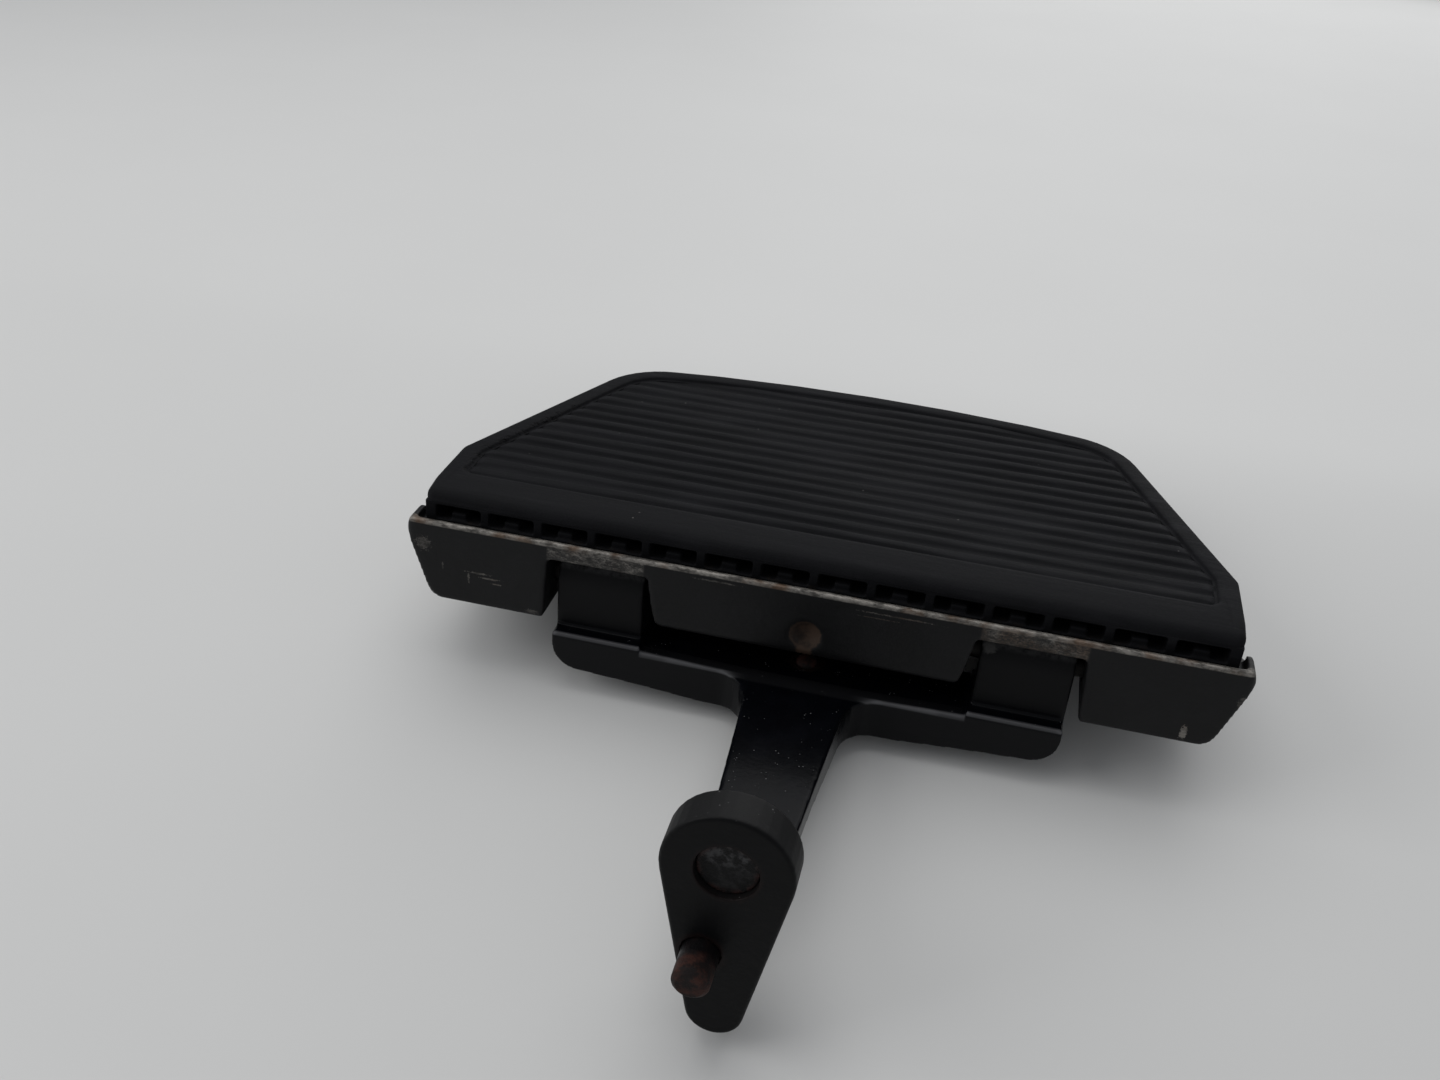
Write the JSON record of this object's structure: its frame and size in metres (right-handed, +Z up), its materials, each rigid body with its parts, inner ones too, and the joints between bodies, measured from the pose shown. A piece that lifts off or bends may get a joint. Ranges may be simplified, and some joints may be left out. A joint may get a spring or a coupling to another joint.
{
  "type": "folding passenger footboard",
  "caption": "Folding D-shaped rubber-topped footboard on a forged T-shaped hinge bracket with a bolt-on mounting plate and a spring ball detent.",
  "frame": {"origin": "on the flat face of the mounting plate, between the bolt boss and the locating dowel", "axes": "+X along the hinge line, +Y away from the mounting face towards the board's curved far edge, +Z up"},
  "size_m": [0.2672, 0.2509, 0.0855],
  "materials": {
    "cast_aluminium_painted": "satin",
    "tread_rubber": "matt",
    "isolator_rubber": "matt",
    "pin_steel": "satin",
    "screw_steel": "dark oxide",
    "bracket_paint": "gloss",
    "plate_paint": "satin",
    "plug_steel": "rough",
    "dowel_steel": "rusty",
    "ball_steel": "polished, stained",
    "spring_steel": "satin"
  },
  "bodies": {
    "bracket": {"hinge_bracket": "bracket_paint", "mounting_plate": "plate_paint", "boss_plug": "plug_steel", "locating_dowel": "dowel_steel", "detent_spring": "spring_steel"},
    "footboard": {"footboard_pan": "cast_aluminium_painted", "tread_pad": "tread_rubber", "pad_isolator": "isolator_rubber", "pad_stud_1": "tread_rubber", "pad_stud_2": "tread_rubber", "pad_stud_3": "tread_rubber", "pad_stud_4": "tread_rubber", "pad_stud_5": "tread_rubber", "pad_stud_6": "tread_rubber", "pivot_pin_left": "pin_steel", "pivot_pin_right": "pin_steel", "lock_screw_left": "screw_steel", "lock_screw_right": "screw_steel"},
    "ball": {"detent_ball": "ball_steel"}
  },
  "joints": [
    {"name": "footboard_fold", "type": "hinge", "parent": "bracket", "child": "footboard", "pos_m": [0, 0.1226, 0.0165], "axis": [1, 0, 0], "range_deg": [0, 90]},
    {"name": "detent_ball_slide", "type": "slide", "parent": "bracket", "child": "ball", "axis": [0, 0, 1], "range_m": [-0.0015, 0], "stiffness_N_per_m": 400, "springref_m": 0.002, "deforming": ["detent_spring"]}
  ]
}
